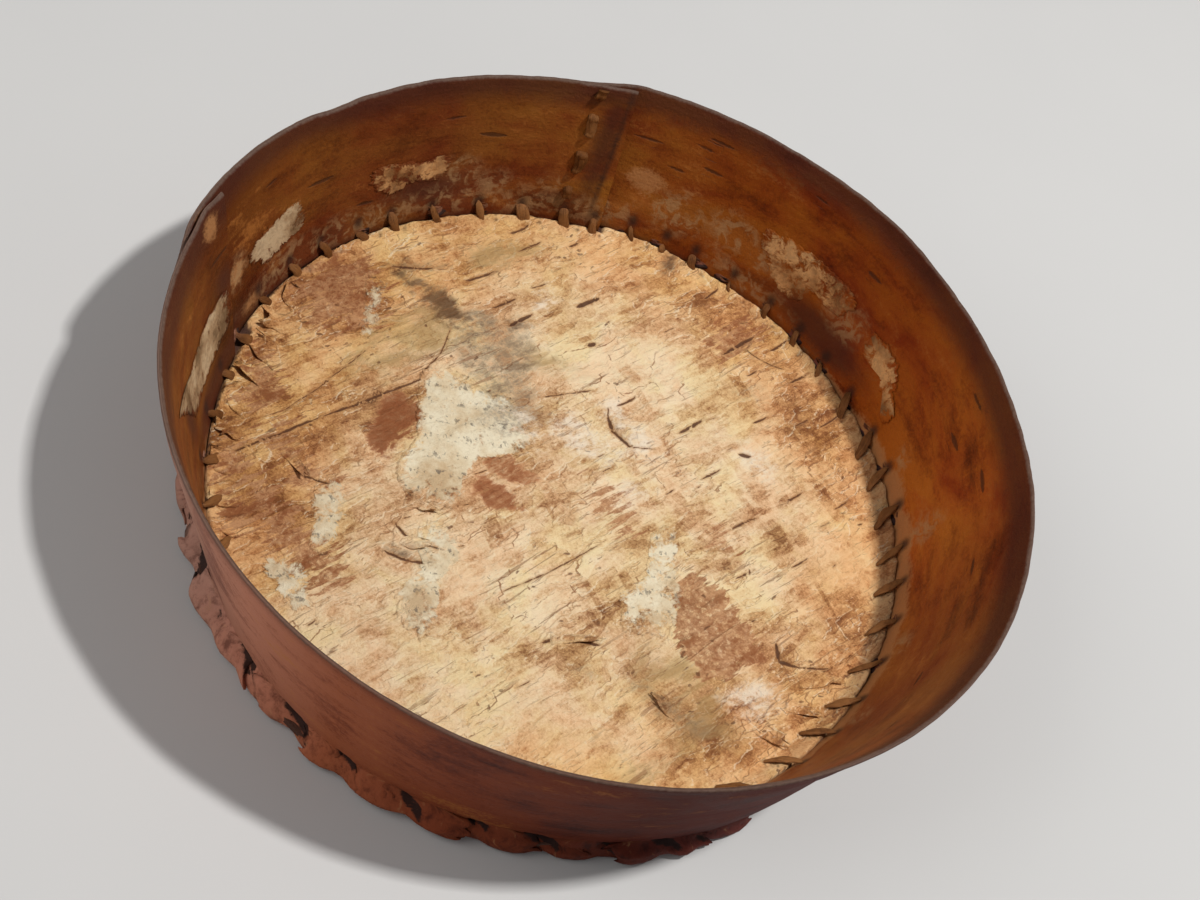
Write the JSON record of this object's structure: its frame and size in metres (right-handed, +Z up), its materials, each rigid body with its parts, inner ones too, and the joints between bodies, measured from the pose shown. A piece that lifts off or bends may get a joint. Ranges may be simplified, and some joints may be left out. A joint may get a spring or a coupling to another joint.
{
  "type": "birch bark basket",
  "caption": "Round, flared open basket of birch bark: lapped wall strips laced with split root to a bark base, with scraps of old paper lining inside.",
  "frame": {"origin": "middle of the basket, on the surface that it stands on", "axes": "+Z up out of the basket's mouth; +X to the right and +Y away from the camera of the picture"},
  "size_m": [0.1658, 0.1633, 0.0424],
  "materials": {
    "base_bark": "dry, pale inner bark, worn",
    "wall_bark": "smooth, hand polished bark",
    "root": "dry split root",
    "paper": "thin old paper, torn"
  },
  "bodies": {
    "root": {"base_sheet": "base_bark", "long_wall_strip": "wall_bark", "short_wall_strip": "wall_bark", "base_lacing_1": "root", "base_lacing_2": "root", "base_lacing_3": "root", "lap_lacing": "root", "paper_floor_middle": "paper", "paper_floor_front": "paper", "paper_floor_left": "paper", "paper_floor_right": "paper", "paper_floor_corner": "paper", "paper_floor_back": "paper", "paper_wall_left": "paper", "paper_wall_leaf": "paper", "paper_wall_far": "paper", "paper_wall_right": "paper", "paper_wall_streak": "paper"}
  },
  "joints": []
}
